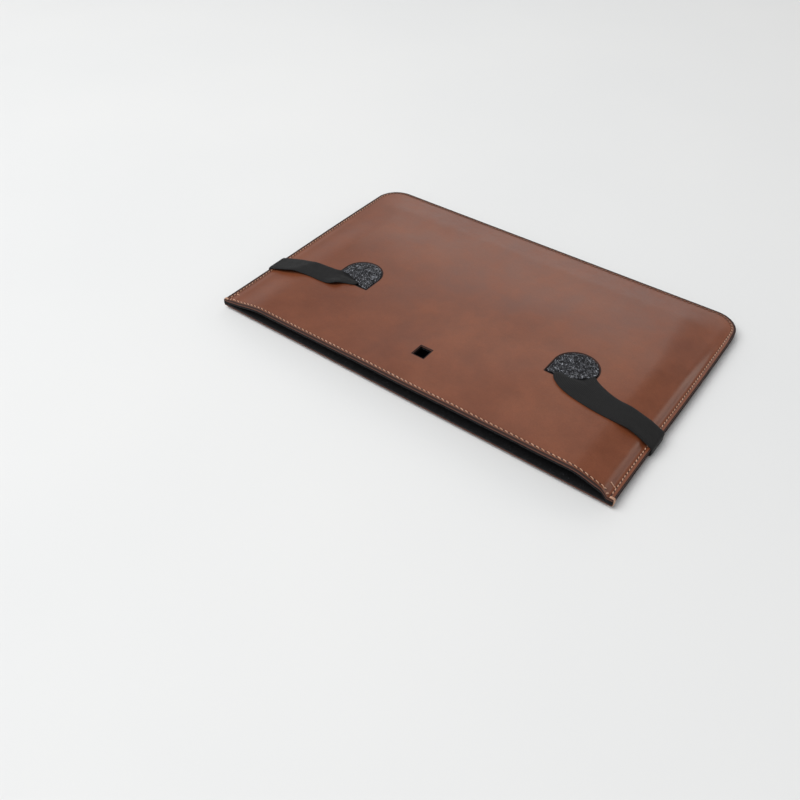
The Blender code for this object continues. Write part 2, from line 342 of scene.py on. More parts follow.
def place(columns, y):
    """Column lines are straight over the windows and follow the outline at the two sides."""
    straight = 0.132
    outside = np.maximum(0.0, np.abs(columns) - straight)
    outside = outside * (edge_x(y) - straight) / (HALF_LENGTH - straight)
    return np.sign(columns) * (np.minimum(np.abs(columns), straight) + outside)


def lattice(holes, step, fine):
    """Column and row places, close together at the edges and over the holes."""
    right = [0.0, *(HALF_LENGTH - d for d in reversed(EDGE_STEPS))]
    xs = sorted({round(v, 7) for v in right} | {round(-v, 7) for v in right})
    arc = [CORNER_Y + REAR_CORNER * math.sin(k * math.pi / 28) for k in range(13)]
    ys = [-HALF_DEPTH + d for d in EDGE_STEPS] + [0.0, *arc]
    ys += [HALF_DEPTH - d for d in EDGE_STEPS]
    for hole in holes:
        for places, low, high in zip((xs, ys), hole.low, hole.high):
            n = math.ceil((high - low) / fine)
            inner = [low + (high - low) * k / n for k in range(n + 1)]
            places[:] = [v for v in places if not low - 0.0004 < v < high + 0.0004]
            places += inner
    results = []
    for places in (xs, ys):
        clean = []
        for v in sorted(places):
            if not clean or v - clean[-1] > 0.00005:
                clean.append(v)
        results.append(np.array(filled(clean, step)))
    return results


def plan_mesh(holes, step, fine):
    """A plate in plan: x, y, distance from an edge and that edge's rim for each point, the quads,
    and the loops of points round the outside and round each hole."""
    columns, rows = lattice(holes, step, fine)
    grid_c, grid_y = np.meshgrid(columns, rows)
    xs = [place(grid_c, grid_y).ravel()]
    ys = [grid_y.ravel()]
    across_all = len(columns)
    cell = np.ones((len(rows) - 1, across_all - 1), bool)
    number = np.arange(grid_c.size).reshape(grid_c.shape)
    distances = [np.minimum(outline_distance(xs[0], ys[0]), ys[0] + HALF_DEPTH)]
    reaches = [np.full(grid_c.size, RIM_REACH)]
    count = grid_c.size
    quads = []
    loops = [[*number[0, :-1], *number[:-1, -1], *number[-1, :0:-1], *number[:0:-1, 0]]]
    # Each hole takes a block out of the lattice, and rings lead from the block to the hole's edge.
    for hole in holes:
        i0, i1 = (int(np.argmin(np.abs(columns - v))) for v in (hole.low[0], hole.high[0]))
        j0, j1 = (int(np.argmin(np.abs(rows - v))) for v in (hole.low[1], hole.high[1]))
        across, up = i1 - i0, j1 - j0
        cell[j0:j1, i0:i1] = False
        loop = np.concatenate([
            number[j0, i0:i1], number[j0:j1, i1], number[j1, i1:i0:-1], number[j1:j0:-1, i0],
        ])
        base = np.stack([xs[0][loop], ys[0][loop]], 1)
        offsets = (0.0024, 0.0014, 0.0008, 0.0005, 0.0003, 0.00015, 0.00005, 0.0)
        first = hole.ring(offsets[0], across, up)
        rings = [(base + (first - base) * share, 1.0) for share in (0.25, 0.5, 0.75)]
        rings += [(hole.ring(o, across, up), o) for o in offsets]
        for points, distance in rings:
            fresh = np.arange(count, count + len(loop))
            count += len(loop)
            xs.append(points[:, 0])
            ys.append(points[:, 1])
            distances.append(np.full(len(loop), distance))
            reaches.append(np.full(len(loop), RIM_REACH * HOLE_RIM_SHARE))
            n = np.roll(np.arange(len(loop)), -1)
            quads.append(np.stack([loop, loop[n], fresh[n], fresh], 1))
            loop = fresh
        loops.append(loop)
    j, i = np.nonzero(cell)
    corner = number[j, i]
    quads.append(np.stack([corner, corner + 1, corner + across_all + 1, corner + across_all], 1))
    quads = np.concatenate(quads)
    # Lattice points inside the holes are dropped.
    used = np.zeros(count, bool)
    used[quads.ravel()] = True
    renumber = np.cumsum(used) - 1
    values = [np.concatenate(parts)[used] for parts in (xs, ys, distances, reaches)]
    return values, renumber[quads], [renumber[np.array(loop)] for loop in loops]


def plate(name, look, height, low, high, holes, radius=0.0005, step=0.0022, fine=0.0013, fuzz=0.0):
    """A sheet between height + low and height + high, cut to the outline, with eased edges."""
    (x, y, d, reach), quads, (rim, *hole_loops) = plan_mesh(holes, step, fine)
    n = len(x)
    if fuzz:
        rng = np.random.default_rng(len(name))
        near = np.exp(-d / 0.0004) * fuzz
        x = x + rng.normal(0, 1, n) * near
        y = y + rng.normal(0, 1, n) * near
    # Both faces follow the height, and curve in at the edge by the edge's radius.
    inside = np.clip(radius - d, 0.0, radius)
    drop = radius - np.sqrt(np.maximum(radius**2 - inside**2, 0.0))
    surface = height(x, y)
    sunk = groove(x, y) if not fuzz else 0.0
    outward_top = height is not back_face
    top = surface + high - drop - (sunk if outward_top else 0.0)
    bottom = surface + low + drop + (0.0 if outward_top else sunk)
    points = np.concatenate([np.stack([x, y, bottom], 1), np.stack([x, y, top], 1)])
    faces = [tuple(q) for q in (quads + n).tolist()] + [tuple(q[::-1]) for q in quads.tolist()]
    for loop, inward in [(rim, False), *((loop, True) for loop in hole_loops)]:
        for a, b in zip(loop.tolist(), np.roll(loop, -1).tolist()):
            wall = (a, b, b + n, a + n)
            faces.append(wall[::-1] if inward else wall)
    thing = make_object(name, points, faces, look, smooth_angle=0)
    # Painted shade: the rim value darkens the leather along each edge and hole, less so on the lit right
    # side
    right_side = smooth((x - 0.165) / 0.01) * smooth((0.10 - y) / 0.02)
    less_rim_shade = np.where(reach < RIM_REACH, 0.0, RIGHT_RIM_LESS_SHADE * right_side)
    add_floats(thing, "rim", np.tile(np.clip(1 - d / (reach * (1 - less_rim_shade)), 0.0, 1.0), 2))
    add_floats(thing, "channel", np.tile(groove(x, y) / GROOVE_DEPTH, 2))
    return thing


def tubes(name, centre_lines, radius, look, sides=6):
    """Closed tubes along short centre lines, an array of (tube, point, xyz), as one object."""
    lines = np.asarray(centre_lines, float)
    count, length, _ = lines.shape
    tangent = np.gradient(lines, axis=1)
    tangent /= np.linalg.norm(tangent, axis=2, keepdims=True)
    chord = lines[:, -1] - lines[:, 0]
    upright = np.abs(chord[:, 2:3]) > np.hypot(chord[:, :1], chord[:, 1:2]) * 3
    up = np.where(upright, [[1, 0, 0]], [[0, 0, 1]])
    aside = np.cross(np.broadcast_to(up[:, None, :], tangent.shape), tangent)
    aside /= np.maximum(np.linalg.norm(aside, axis=2, keepdims=True), 1e-9)
    normal = np.cross(tangent, aside)
    taper = np.ones(length)
    taper[0] = taper[-1] = 0.55
    angle = np.arange(sides) * 2 * np.pi / sides
    ring = (
        np.cos(angle)[None, None, :, None] * aside[:, :, None, :]
        + np.sin(angle)[None, None, :, None] * normal[:, :, None, :]
    )
    points = lines[:, :, None, :] + ring * (radius * taper)[None, :, None, None]
    points = points.reshape(-1, 3)
    faces = []
    for k in range(count):
        start = k * length * sides
        for j in range(length - 1):
            for i in range(sides):
                a = start + j * sides + i
                b = start + j * sides + (i + 1) % sides
                faces.append((a, b, b + sides, a + sides))
        faces.append(tuple(start + i for i in reversed(range(sides))))
        faces.append(tuple(start + (length - 1) * sides + i for i in range(sides)))
    return make_object(name, points, faces, look, smooth_angle=70)


# ------------------------ materials


def rgba(colour):
    """A colour with its alpha. A plain number is a grey."""
    return (*colour, 1.0) if isinstance(colour, tuple) else (colour, colour, colour, 1.0)


def new_material(name, colour, roughness):
    look = bpy.data.materials.new(name)
    look.use_nodes = True
    tree = look.node_tree
    shader = tree.nodes["Principled BSDF"]
    shader.inputs["Base Color"].default_value = rgba(colour)
    shader.inputs["Roughness"].default_value = roughness
    return look, tree, shader


def add_node(tree, kind, **settings):
    node = tree.nodes.new(kind)
    for key, value in settings.items():
        if key in node.inputs:
            node.inputs[key].default_value = value
        else:
            setattr(node, key, value)
    return node


def link(tree, source, target):
    tree.links.new(source, target)


def object_coords(tree):
    return tree.nodes.new("ShaderNodeTexCoord").outputs["Object"]


def noise(tree, vector, scale, detail, roughness=0.5, output="Fac"):
    node = add_node(tree, "ShaderNodeTexNoise", Scale=scale, Detail=detail, Roughness=roughness)
    link(tree, vector, node.inputs["Vector"])
    return node.outputs[output]


def attribute(tree, name):
    return add_node(tree, "ShaderNodeAttribute", attribute_name=name).outputs["Fac"]


def ramp(tree, source, stops):
    """Colours by a number, from (position, colour) stops."""
    node = tree.nodes.new("ShaderNodeValToRGB")
    elements = node.color_ramp.elements
    while len(elements) < len(stops):
        elements.new(0.5)
    for element, (position, colour) in zip(elements, stops):
        element.position = position
        element.color = rgba(colour)
    link(tree, source, node.inputs["Fac"])
    return node.outputs["Color"]


def feed(tree, socket, value):
    """Link a socket to another node's output, or set it to a plain number or colour."""
    if isinstance(value, bpy.types.NodeSocket):
        link(tree, value, socket)
    elif isinstance(value, tuple):
        socket.default_value = rgba(value)
    else:
        socket.default_value = value


def mix_colour(tree, factor, a, b, blend="MIX"):
    node = add_node(tree, "ShaderNodeMix", data_type="RGBA", blend_type=blend)
    for index, value in ((0, factor), (6, a), (7, b)):
        feed(tree, node.inputs[index], value)
    return node.outputs[2]


def shaded(tree, base, source, *stops):
    """A colour multiplied by greys that follow a number."""
    return mix_colour(tree, 1.0, base, ramp(tree, source, stops), "MULTIPLY")


def math_node(tree, operation, a, b=0.0):
    node = add_node(tree, "ShaderNodeMath", operation=operation)
    feed(tree, node.inputs[0], a)
    feed(tree, node.inputs[1], b)
    return node.outputs[0]


def bump(tree, height, distance, strength, normal=None):
    node = add_node(tree, "ShaderNodeBump", Strength=strength, Distance=distance)
    link(tree, height, node.inputs["Height"])
    if normal is not None:
        link(tree, normal, node.inputs["Normal"])
    return node.outputs["Normal"]


def leather_material():
    """Cloudy brown leather, with painted shade along its burnished rims and in its stitch channels."""
    look, tree, shader = new_material("brown_leather", (0.174, 0.049, 0.019), 0.38)
    coords = object_coords(tree)
    cloud = noise(tree, coords, 13.0, 5.0, 0.6)
    blotch = noise(tree, coords, 48.0, 5.0, 0.66)
    fine = noise(tree, coords, 900.0, 3.0, 0.6)
    pebble = add_node(tree, "ShaderNodeTexVoronoi", Scale=1300.0)
    link(tree, coords, pebble.inputs["Vector"])
    base = ramp(tree, cloud, (
        (0.30, (0.152, 0.041, 0.016)), (0.50, (0.174, 0.049, 0.019)), (0.70, (0.197, 0.059, 0.024)),
    ))
    base = shaded(tree, base, blotch, (0.35, 0.90), (0.65, 1.08))
    base = shaded(tree, base, fine, (0.35, 0.93), (0.65, 1.05))
    rim = attribute(tree, "rim")
    # Painted shade: a near-black band along each edge over some real burnish, and the walls' red-brown
    # lightened to look lit
    dark_rim = ramp(tree, rim, ((0.30, 0.0), (0.55, 0.95)))
    burnish_and_shade = ramp(tree, rim, ((0.93, (0.014, 0.006, 0.005)), (1.0, (0.130, 0.048, 0.030))))
    base = mix_colour(tree, dark_rim, base, burnish_and_shade)
    channel = attribute(tree, "channel")
    # Painted shade: the stitch channels are darkened almost to black
    sunk = ramp(tree, channel, ((0.10, 0.0), (0.75, 0.88)))
    base = mix_colour(tree, sunk, base, (0.024, 0.008, 0.005))
    link(tree, base, shader.inputs["Base Color"])
    rough = ramp(tree, blotch, ((0.3, 0.33), (0.7, 0.43)))
    rough = mix_colour(tree, dark_rim, rough, (0.88, 0.88, 0.88))
    link(tree, rough, shader.inputs["Roughness"])
    normal = bump(tree, pebble.outputs["Distance"], 0.00006, 0.30)
    normal = bump(tree, fine, 0.00008, 0.30, normal)
    normal = bump(tree, blotch, 0.0006, 0.25, normal)
    link(tree, normal, shader.inputs["Normal"])
    shader.inputs["Specular IOR Level"].default_value = 0.5
    return look


def felt_material(name, dark, light, share):
    """Felt of dark fibres with pale ones over it. The higher the share, the fewer are pale."""
    look, tree, shader = new_material(name, dark, 0.95)
    coords = object_coords(tree)
    bend = noise(tree, coords, 260.0, 2.0, output="Color")
    warp = add_node(tree, "ShaderNodeVectorMath", operation="SCALE")
    link(tree, bend, warp.inputs[0])
    warp.inputs["Scale"].default_value = 0.0045
    moved = add_node(tree, "ShaderNodeVectorMath", operation="ADD")
    link(tree, coords, moved.inputs[0])
    link(tree, warp.outputs["Vector"], moved.inputs[1])
    fibres = []
    for angle, scale in ((0.5, 1.0), (-0.9, 1.15), (1.9, 0.9)):
        turn = add_node(tree, "ShaderNodeMapping", vector_type="TEXTURE")
        turn.inputs["Rotation"].default_value = (0.0, 0.0, angle)
        turn.inputs["Scale"].default_value = (4.2 / scale, 0.7 / scale, 1.7)
        link(tree, moved.outputs["Vector"], turn.inputs["Vector"])
        fibres.append(noise(tree, turn.outputs["Vector"], 1050.0, 2.0, 0.55))
    most = math_node(tree, "MAXIMUM", math_node(tree, "MAXIMUM", fibres[0], fibres[1]), fibres[2])
    lit = ramp(tree, most, ((share, 0.0), (share + 0.09, 0.35), (share + 0.2, 1.0)))
    tuft = noise(tree, coords, 420.0, 3.0)
    base = mix_colour(tree, lit, dark, light)
    base = shaded(tree, base, tuft, (0.35, 0.65), (0.65, 1.3))
    link(tree, base, shader.inputs["Base Color"])
    rough = ramp(tree, most, ((0.4, 0.98), (0.8, 0.86)))
    link(tree, rough, shader.inputs["Roughness"])
    normal = bump(tree, most, 0.0006, 0.8)
    normal = bump(tree, tuft, 0.0008, 0.5, normal)
    link(tree, normal, shader.inputs["Normal"])
    shader.inputs["Sheen Weight"].default_value = 0.06
    shader.inputs["Sheen Roughness"].default_value = 0.5
    shader.inputs["Specular IOR Level"].default_value = 0.2
    return look


def elastic_material():
    """Black woven elastic, ribbed along its length."""
    look, tree, shader = new_material("black_elastic", (0.017, 0.017, 0.018), 0.78)
    weave = add_node(tree, "ShaderNodeUVMap", uv_map="weave").outputs["UV"]
    parts = tree.nodes.new("ShaderNodeSeparateXYZ")
    link(tree, weave, parts.inputs["Vector"])
    along = math_node(tree, "MULTIPLY", parts.outputs["X"], 2 * math.pi / 0.0009)
    across = math_node(tree, "MULTIPLY", parts.outputs["Y"], 2 * math.pi / 0.0011)
    ribs = math_node(tree, "COSINE", across)
    staggered = math_node(tree, "ADD", along, math_node(tree, "MULTIPLY", ribs, 0.8))
    picks = math_node(tree, "COSINE", staggered)
    rib_part = math_node(tree, "MULTIPLY", ribs, 0.6)
    pick_part = math_node(tree, "MULTIPLY", picks, 0.5)
    cloth = math_node(tree, "ADD", rib_part, pick_part)
    coords = object_coords(tree)
    wear = noise(tree, coords, 180.0, 4.0)
    base = ramp(tree, math_node(tree, "ADD", math_node(tree, "MULTIPLY", cloth, 0.25), 0.5), (
        (0.2, (0.004, 0.004, 0.0042)), (0.8, (0.0135, 0.0135, 0.014)),
    ))
    base = shaded(tree, base, wear, (0.3, 0.82), (0.7, 1.2))
    link(tree, base, shader.inputs["Base Color"])
    rough = ramp(tree, wear, ((0.3, 0.70), (0.7, 0.88)))
    link(tree, rough, shader.inputs["Roughness"])
    link(tree, bump(tree, cloth, 0.00009, 0.6), shader.inputs["Normal"])
    shader.inputs["Sheen Weight"].default_value = 0.03
    shader.inputs["Specular IOR Level"].default_value = 0.24
    return look


def thread_material():
    """Tan twisted thread, darker towards the sleeve's rear where a value per vertex is high."""
    look, tree, shader = new_material("tan_thread", (0.52, 0.27, 0.16), 0.6)
    coords = object_coords(tree)
    tint = noise(tree, coords, 160.0, 2.0)
    ply = add_node(tree, "ShaderNodeTexWave", Scale=900.0, Distortion=1.5, bands_direction="DIAGONAL")
    link(tree, coords, ply.inputs["Vector"])
    twist = ply.outputs["Fac"]
    base = ramp(tree, tint, ((0.35, (0.50, 0.265, 0.16)), (0.65, (0.66, 0.40, 0.275))))
    base = shaded(tree, base, twist, (0.1, 0.8), (0.8, 1.05))
    rear_darkening = attribute(tree, "rear_darkening")
    base = mix_colour(tree, rear_darkening, base, (0.120, 0.046, 0.026))
    link(tree, base, shader.inputs["Base Color"])
    rough = ramp(tree, twist, ((0.0, 0.7), (1.0, 0.5)))
    link(tree, rough, shader.inputs["Roughness"])
    link(tree, bump(tree, twist, 0.00008, 0.6), shader.inputs["Normal"])
    return look


LEATHER_LOOK = leather_material()
# The lining's near-black is partly the felt's own dark grey, partly painted shade for the inside of the
# mouth
LINING_LOOK = felt_material("dark_lining_felt", (0.005, 0.005, 0.006), (0.070, 0.072, 0.080), 0.66)
PATCH_LOOK = felt_material("heather_patch_felt", (0.007, 0.007, 0.009), (0.46, 0.48, 0.53), 0.58)
ELASTIC_LOOK = elastic_material()
THREAD_LOOK = thread_material()


# ------------------------ panels and linings


def add_panels():
    front = plate(
        "front_leather", LEATHER_LOOK, front_skin, -LEATHER, 0.0, [*WINDOW_HOLES, MARK_HOLE]
    )
    back = plate("back_leather", LEATHER_LOOK, back_face, 0.0, LEATHER, WINDOW_HOLES)
    felt = {"radius": 0.0003, "step": 0.003, "fuzz": 0.00012}
    front_felt = plate(
        "front_lining", LINING_LOOK, front_skin, -FELT_INNER, -FELT_OUTER, [MARK_HOLE], **felt
    )
    back_felt = plate("back_lining", LINING_LOOK, back_face, FELT_OUTER, FELT_INNER, [], **felt)
    sheets = (
        (front, "front_leather_panel", "leather"),
        (back, "back_leather_panel", "leather"),
        (front_felt, "front_felt_lining", "lining_felt"),
        (back_felt, "back_felt_lining", "lining_felt"),
    )
    for piece, node, slot in sheets:
        sew_on(piece, node)


# ------------------------ window patches

# Patches and straps are laid out in plan as if all on the right, and the left ones mirrored.

# Cut edge of each felt patch: its two ends, and how far its middle bows towards the rear
PATCH_CUT = {
    "right": ((0.0990, -0.0435), (0.1200, -0.0295), -0.0023),
    "left": ((0.0910, -0.0445), (0.1210, -0.0350), 0.0027),
}
PATCH_CENTRE = (0.1025, -0.0245)
PATCH_INSET = 0.00045

# Its section: heights of its top and bottom, how far the cut edge lifts each, how far its middle
# crowns and its rim is rounded down, and the widths that these take
PATCH_TOP, PATCH_BOTTOM = 0.00025, -0.00035
TOP_LIFT, BOTTOM_LIFT, LIFT_WIDTH = 0.00095, 0.0009, 0.0055
CROWN, CROWN_WIDTH = 0.00055, 0.009
RIM_DROP, RIM_WIDTH = 0.00045, 0.0006

# Rings of a patch's mesh, as shares of the way from its centre to its edge
PATCH_RINGS = (0.0, 0.1, 0.2, 0.3, 0.4, 0.5, 0.6, 0.7, 0.78, 0.85, 0.9, 0.94, 0.965, 0.985, 1.0)


def curve_points(controls, count):
    """A smooth curve through control points, evenly spaced by number."""
    controls = np.asarray(controls, float)
    chord = np.linalg.norm(np.diff(controls, axis=0), axis=1)
    knots = np.concatenate([[0.0], np.cumsum(np.sqrt(np.maximum(chord, 1e-9)))])
    slopes = np.zeros_like(controls)
    gaps = np.diff(knots)[:, None]
    steps = np.diff(controls, axis=0) / gaps
    slopes[1:-1] = (steps[:-1] * gaps[1:] + steps[1:] * gaps[:-1]) / (gaps[1:] + gaps[:-1])
    slopes[0], slopes[-1] = steps[0], steps[-1]
    t = np.linspace(0.0, knots[-1], count)
    k = np.clip(np.searchsorted(knots, t, side="right") - 1, 0, len(controls) - 2)
    h = (knots[k + 1] - knots[k])[:, None]
    u = ((t - knots[k])[:, None]) / h
    return (
        (2 * u**3 - 3 * u**2 + 1) * controls[k]
        + (u**3 - 2 * u**2 + u) * h * slopes[k]
        + (-2 * u**3 + 3 * u**2) * controls[k + 1]
        + (u**3 - u**2) * h * slopes[k + 1]
    )


def cut_edge(side_name):
    """The patch's cut edge as a shallow bow, run on past both of its ends."""
    start, end, bow = PATCH_CUT[side_name]
    start, end = np.array(start), np.array(end)
    along = end - start
    rearward = np.array([-along[1], along[0]]) / np.linalg.norm(along)
    t = np.linspace(-0.4, 1.4, 60)[:, None]
    return start + along * t + rearward * bow * 4 * t * (1 - t)


def ray_lengths(angles, polyline, centre):
    """Distance from centre to a polyline along each angle, or a large number."""
    result = np.full(len(angles), 1.0)
    direction = np.stack([np.cos(angles), np.sin(angles)], 1)
    for a, b in zip(polyline[:-1] - centre, polyline[1:] - centre):
        edge = b - a
        cross = direction[:, 0] * edge[1] - direction[:, 1] * edge[0]
        cross = np.where(np.abs(cross) < 1e-12, 1e-12, cross)
        t = (a[0] * edge[1] - a[1] * edge[0]) / cross
        u = (a[0] * direction[:, 1] - a[1] * direction[:, 0]) / cross
        hit = (t > 0) & (u >= -1e-9) & (u <= 1 + 1e-9)
        result = np.where(hit & (t < result), t, result)
    return result


def polyline_distance(points, polyline):
    """Distance from each point to a polyline."""
    best = np.full(len(points), 1.0)
    for a, b in zip(polyline[:-1], polyline[1:]):
        edge = b - a
        t = np.clip((points - a) @ edge / (edge @ edge), 0, 1)[:, None]
        best = np.minimum(best, np.linalg.norm(points - a - t * edge, axis=1))
    return best


def add_patch(side_name, face_name):
    """A felt patch that fills its window and lifts at the cut edge, over the strap."""
    side, face = SIDES[side_name], FACES[face_name]
    centre = np.array(PATCH_CENTRE)
    cut = cut_edge(side_name)
    path = arch_path(WINDOW_X, -PATCH_INSET)
    arch = walk_closed(path, np.linspace(0, path[1], 400), WINDOW_ROUNDING)
    angles = np.linspace(-np.pi, np.pi, 220, endpoint=False)
    rng = np.random.default_rng(7 + 3 * side + face)
    reach = np.minimum(ray_lengths(angles, arch, centre), ray_lengths(angles, cut, centre))
    reach += rng.normal(0, 0.00009, len(angles))
    direction = np.stack([np.cos(angles), np.sin(angles)], 1)
    plan = [centre[None]]
    inward = [np.array([0.02])]
    for share in PATCH_RINGS[1:]:
        plan.append(centre + direction * (reach * share)[:, None])
        inward.append(reach * (1 - share))
    plan = np.concatenate(plan)
    inward = np.concatenate(inward)
    lift = 1 - smooth(polyline_distance(plan, cut) / LIFT_WIDTH)
    crown = CROWN * smooth(inward / CROWN_WIDTH)
    short = 1 - np.clip(inward / RIM_WIDTH, 0, 1)
    drop = RIM_DROP * (1 - np.sqrt(1 - short**2))
    tufts = rng.normal(0, 0.00005, len(plan))
    top = PATCH_TOP + crown + TOP_LIFT * lift - drop + tufts
    bottom = PATCH_BOTTOM + BOTTOM_LIFT * lift + 0.5 * drop
    ring = len(angles)
    n = len(plan)
    faces = []
    for i in range(ring):
        faces.append((0, 1 + i, 1 + (i + 1) % ring))
        for k in range(len(PATCH_RINGS) - 2):
            a = 1 + k * ring + i
            b = 1 + k * ring + (i + 1) % ring
            faces.append((a, a + ring, b + ring, b))
    rim = 1 + (len(PATCH_RINGS) - 2) * ring
    under = [tuple(n + v for v in reversed(f)) for f in faces]
    walls = [
        (n + rim + i, n + rim + (i + 1) % ring, rim + (i + 1) % ring, rim + i) for i in range(ring)
    ]
    faces = faces + under + walls
    x = np.tile(plan[:, 0], 2) * side
    y = np.tile(plan[:, 1], 2)
    base = FACE_HEIGHT[face_name](x, y)
    z = base + face * np.concatenate([top, bottom])
    if side * face < 0:
        faces = [f[::-1] for f in faces]
    name = f"{side_name}_{face_name}_patch"
    piece = make_object(name, np.stack([x, y, z], 1), faces, PATCH_LOOK)
    sew_on(piece, f"{side_name}_{face_name}_felt_patch")


# ------------------------ elastic straps

# Cross lines of each strap in plan, from under the patch to the side: mouth-side end, rear-side
# end. The strap fans out where it leaves the window, bends there and then runs to the side.
STRAP_STATIONS = {
    "right": (
        ((0.0975, -0.0330), (0.1140, -0.0225)),
        ((0.0935, -0.0440), (0.1190, -0.0280)),
        ((0.1040, -0.0540), (0.1265, -0.0340)),
        ((0.1320, -0.0615), (0.1450, -0.0415)),
        ((0.1600, -0.0630), (0.1630, -0.0415)),
        ((0.1800, -0.0615), (0.1800, -0.0405)),
    ),
    "left": (
        ((0.0985, -0.0345), (0.1130, -0.0270)),
        ((0.0975, -0.0435), (0.1175, -0.0325)),
        ((0.1060, -0.0480), (0.1240, -0.0355)),
        ((0.1145, -0.0555), (0.1310, -0.0365)),
        ((0.1430, -0.0580), (0.1490, -0.0390)),
        ((0.1630, -0.0610), (0.1640, -0.0400)),
        ((0.1800, -0.0630), (0.1800, -0.0430)),
    ),
}
STRAP_COUNT = 130
STRAP_ACROSS = 24
TAUT_FROM_X = 0.130

# Where the strap bends in its plane, where it is cut in two pieces, and where it stretches
SPLIT_X = 0.1360

# The strap bridges the shoulder, so that it clears the leather all the way to the mouth corner.
# Place, height and length of the bridge, and how place and height change over to the rear side
BRIDGE = {
    "left": {"x": 0.1565, "x_change": -0.0085, "rise": 0.0030, "rise_change": -0.0016, "length": 0.0095},
    "right": {"x": 0.1630, "x_change": -0.0070, "rise": 0.0025, "rise_change": -0.0015, "length": 0.0080},
}

# Bulge of each front strap beside its window: plan centre, reach in x and y, height
BULGE = {
    "left": ((0.1115, -0.0530), (0.0060, 0.0055), 0.0022),
    "right": ((0.1120, -0.0480), (0.0090, 0.0080), 0.0007),
}


def window_depth(x, y):
    """How far a right-hand plan point is inside the window, below zero outside it."""
    dx = np.abs(x - WINDOW_X)
    dy = y - WINDOW_Y
    arch = WINDOW_R - np.hypot(dx, np.maximum(dy, 0.0))
    soft = 0.0018
    return -soft * np.logaddexp(-arch / soft, -(dy + WINDOW_FOOT) / soft)


def hull_over(x, z):
    """The upper hull of a height profile: a strap pulled straight over its hollows."""
    kept = [0]
    for k in range(1, len(x)):
        while len(kept) > 1:
            a, b = kept[-2:]
            if (z[b] - z[a]) * (x[k] - x[a]) > (z[k] - z[a]) * (x[b] - x[a]):
                break
            kept.pop()
        kept.append(k)
    return np.interp(x, x[kept], z[kept])


def strap_bridge(side_name, x, v):
    """Extra height over the shoulder, v = 0 at the mouth-side edge and 1 at the rear-side one."""
    bridge = BRIDGE[side_name]
    away = (x - bridge["x"] - bridge["x_change"] * v) / bridge["length"]
    return (bridge["rise"] + bridge["rise_change"] * v) * np.exp(-(away**2))


def strap_bulge(side_name, x, y):
    """Extra height where the front strap bulges beside the window."""
    centre, reach, height = BULGE[side_name]
    return height * np.exp(-(((x - centre[0]) / reach[0]) ** 2) - ((y - centre[1]) / reach[1]) ** 2)


def strap_rails(side_name, face_name):
    """Inner face of the strap over one panel, from under the patch to the side's edge."""
    side, face = SIDES[side_name], FACES[face_name]
    stations = np.array(STRAP_STATIONS[side_name])
    both = curve_points(stations.reshape(len(stations), 4), STRAP_COUNT)
    rows = []
    for v in np.linspace(0, 1, STRAP_ACROSS):
        plan = both[:, :2] * (1 - v) + both[:, 2:] * v
        x, y = plan[:, 0], plan[:, 1]
        last = edge_x(y[-1:])[0] - 0.0004
        to_side = SPLIT_X + (x - SPLIT_X) * (last - SPLIT_X) / (x[-1] - SPLIT_X)
        x = np.where(x > SPLIT_X, to_side, x)
        over = FACE_HEIGHT[face_name](side * x, y) + face * BAND_GAP
        if face > 0:
            beyond = x > TAUT_FROM_X
            over = over + strap_bridge(side_name, x, v)
            over[beyond] = hull_over(x[beyond], over[beyond])
        sunk = smooth(window_depth(x, y) / SINK_LENGTH)
        z = over - face * (BAND_GAP + BAND_SUNK) * sunk
        if face > 0:
            z = z + strap_bulge(side_name, x, y)
        rows.append(np.stack([x, y, z], 1))
    return np.stack(rows, 1)


def strap_surface(side_name):
    """The strap's inner face from the front window round the side to the back window."""
    front = strap_rails(side_name, "front")
    back = strap_rails(side_name, "back")
    top, low = front[-1], back[-1]
    corner = 0.0010
    outer_x = edge_x(top[:, 1]) + BAND_GAP

    def bend(end, a, away):
        x = np.maximum(outer_x - corner * (1 - np.sin(a)), end[:, 0])
        return np.stack([x, end[:, 1], end[:, 2] + away * corner * (1 - np.cos(a))], 1)

    angles = np.linspace(0, np.pi / 2, 8)[1:]
    turn = [bend(top, a, -1) for a in angles]
    for share in np.linspace(0, 1, 7)[1:-1]:
        z = (top[:, 2] - corner) * (1 - share) + (low[:, 2] + corner) * share
        turn.append(np.stack([outer_x, top[:, 1], z], 1))
    turn += [bend(low, a, 1) for a in reversed(angles)]
    return np.concatenate([front, np.stack(turn), back[::-1]])


def strap_piece(name, inner, outer, lengths, side):
    """One closed stretch of strap between its inner and outer faces."""
    count, wide = inner.shape[:2]
    points = np.concatenate([inner.reshape(-1, 3), outer.reshape(-1, 3)])
    n = count * wide
    faces = []
    for j in range(count - 1):
        for i in range(wide - 1):
            a = j * wide + i
            quad = (a, a + wide, a + wide + 1, a + 1)
            faces.append(tuple(v + n for v in quad))
            faces.append(quad[::-1])
    rim = list(range(0, n, wide)) + list(range(n - wide + 1, n))
    rim += list(range(n - 1 - wide, -1, -wide)) + list(range(wide - 2, 0, -1))
    for a, b in zip(rim, rim[1:] + rim[:1]):
        faces.append((a, b, b + n, a + n))
    points[:, 0] *= side
    if side < 0:
        faces = [f[::-1] for f in faces]
    piece = make_object(name, points, faces, ELASTIC_LOOK, smooth_angle=50)
    layer = piece.data.uv_layers.new(name="weave")
    v = np.tile(np.linspace(0, BAND_WIDTH, wide), count)
    u = np.repeat(lengths, wide)
    uv = np.stack([np.tile(u, 2), np.tile(v, 2)], 1)
    index = np.zeros(len(piece.data.loops), np.int32)
    piece.data.loops.foreach_get("vertex_index", index)
    layer.data.foreach_set("uv", uv[index].astype(np.float32).ravel())
    return piece


